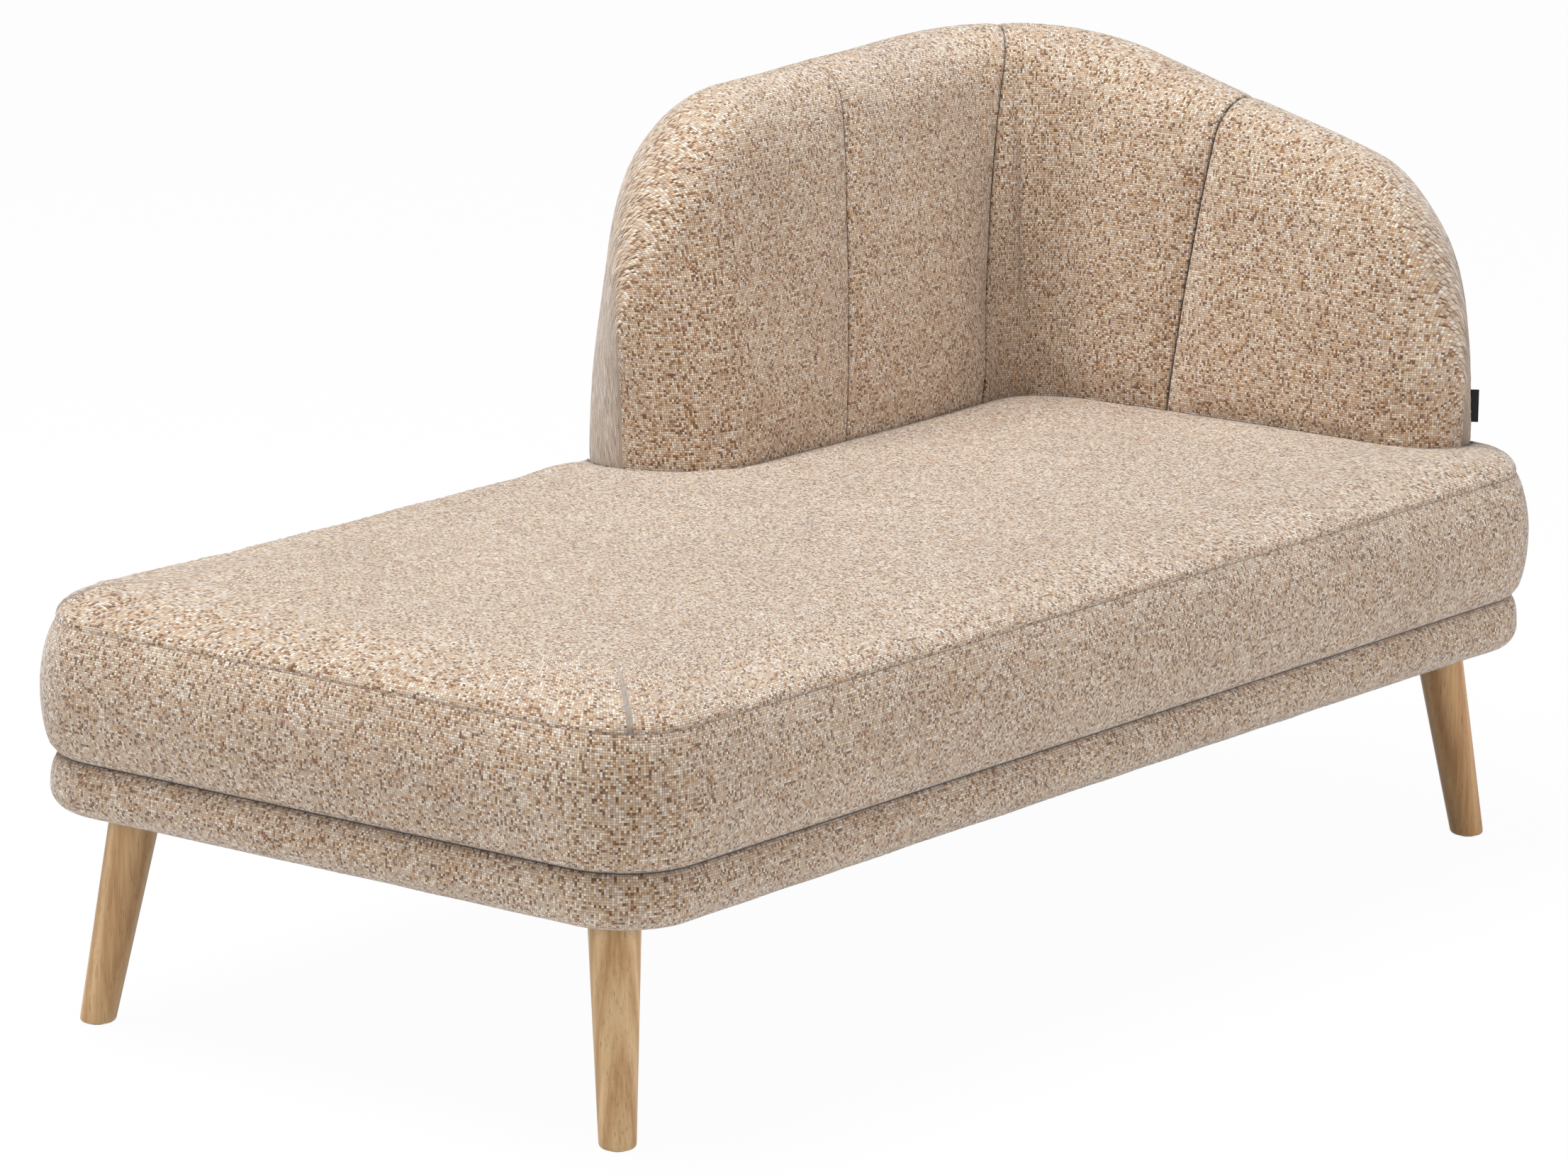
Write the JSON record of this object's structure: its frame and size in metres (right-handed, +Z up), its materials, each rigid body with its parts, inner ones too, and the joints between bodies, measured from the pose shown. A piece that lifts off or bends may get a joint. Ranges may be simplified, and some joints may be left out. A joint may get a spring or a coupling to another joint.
{
  "type": "chaise longue",
  "caption": "Upholstered chaise longue: long padded seat on splayed round wooden legs, with a rounded backrest that wraps one corner of the head end.",
  "frame": {"origin": "on the floor under the middle of the seat", "axes": "+Z up, +X towards the head end, where the backrest is; -Y is the long side that is open, where a person sits down"},
  "size_m": [1.6188, 0.8088, 0.849],
  "materials": {
    "leg_wood": "satin",
    "frame_timber": "matte",
    "plywood": "matte",
    "upholstery_weave": "matte",
    "foam": "matte",
    "webbing": "matte",
    "lining_cloth": "matte",
    "felt": "matte",
    "tag_tape": "matte",
    "steel": "satin",
    "glide_plastic": "matte"
  },
  "bodies": {
    "root": {"leg_foot_front": "leg_wood", "leg_foot_back": "leg_wood", "leg_head_front": "leg_wood", "leg_head_back": "leg_wood", "leg_glides": "glide_plastic", "leg_bolts": "steel", "leg_inserts": "steel", "corner_blocks": "plywood", "front_rail": "frame_timber", "back_rail": "frame_timber", "foot_end_rail": "frame_timber", "head_end_rail": "frame_timber", "backrest_bearer": "frame_timber", "cross_rails": "frame_timber", "cross_straps": "webbing", "long_straps": "webbing", "seat_felt": "felt", "dust_cover": "lining_cloth", "base_band_padding": "foam", "base_band_cover": "upholstery_weave", "seat_foam": "foam", "seat_side_band": "upholstery_weave", "seat_top_cover": "upholstery_weave", "backrest_posts": "frame_timber", "post_screws": "steel", "post_washers": "steel", "backrest_sill": "plywood", "backrest_ribs": "plywood", "backrest_inner_board": "plywood", "backrest_outer_board": "plywood", "backrest_foam": "foam", "backrest_lining": "lining_cloth", "backrest_panel_1": "upholstery_weave", "backrest_panel_2": "upholstery_weave", "backrest_panel_3": "upholstery_weave", "backrest_panel_4": "upholstery_weave", "backrest_outer_cover": "upholstery_weave", "side_tag": "tag_tape"}
  },
  "joints": []
}
